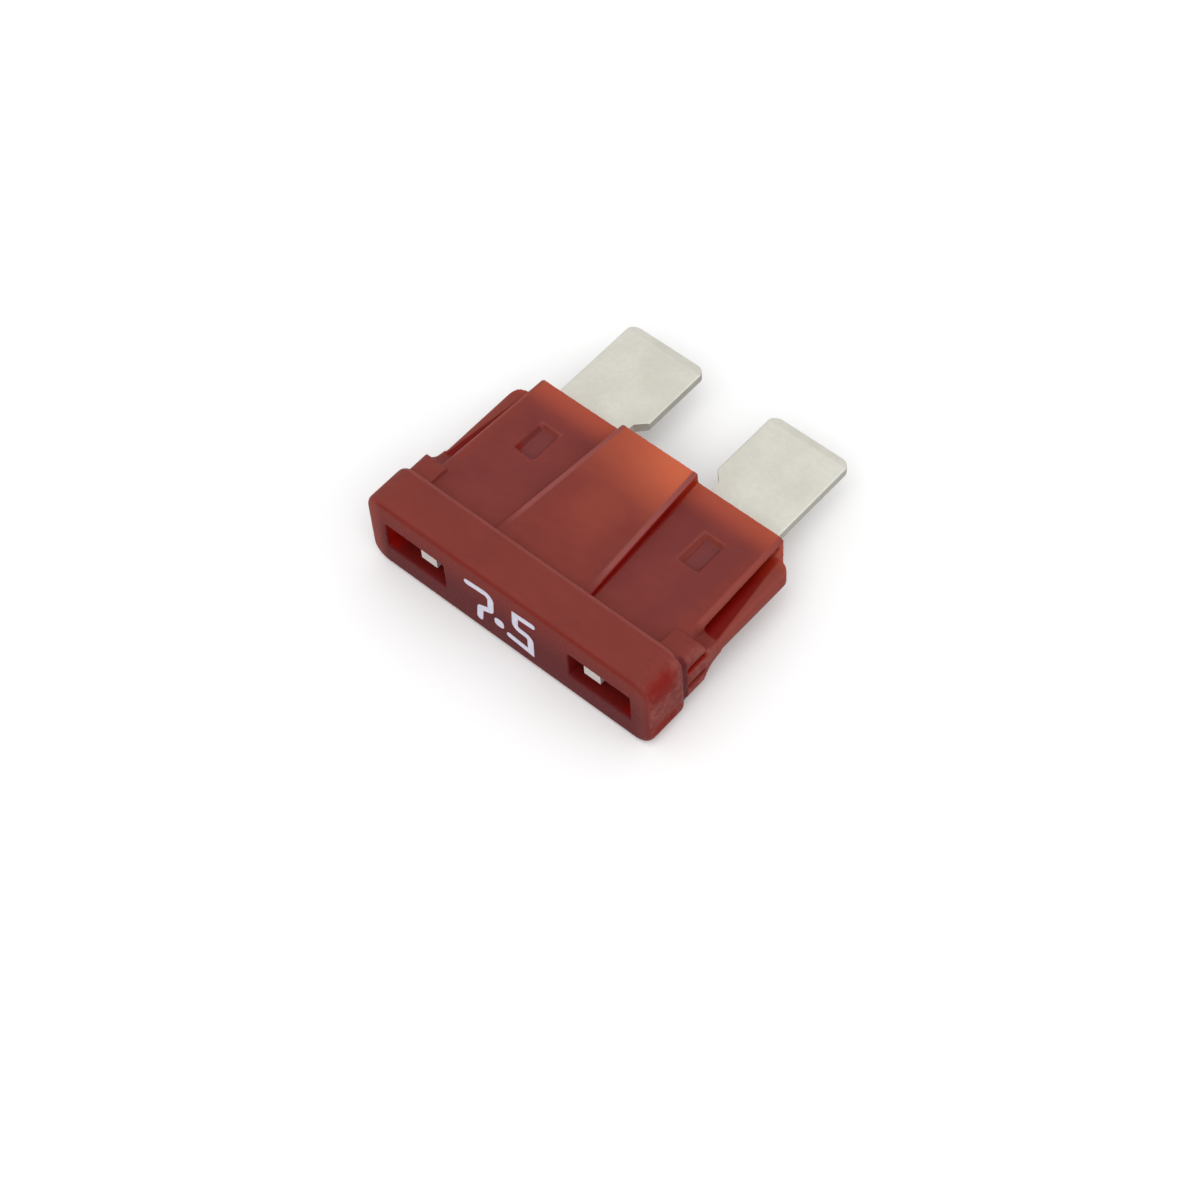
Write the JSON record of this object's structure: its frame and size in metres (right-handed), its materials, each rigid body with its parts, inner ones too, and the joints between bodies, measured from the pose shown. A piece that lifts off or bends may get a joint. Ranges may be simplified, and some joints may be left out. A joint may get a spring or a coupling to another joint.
{
  "type": "automotive blade fuse",
  "caption": "Regular automotive blade fuse: a translucent moulded housing with test windows, staked around a stamped metal element with flat plug-in blades.",
  "frame": {"origin": "under the middle of the bounding box, in the plane of the head's back face", "axes": "+X across the width, +Y from the head towards the blade tips, +Z out of the broad front face"},
  "size_m": [0.0194, 0.0186, 0.0053],
  "materials": {
    "plastic": "translucent brownish red, satin",
    "plating": "dull silver plating on stamped zinc"
  },
  "bodies": {
    "root": {"housing": "plastic", "fuse_element": "plating"}
  },
  "joints": []
}
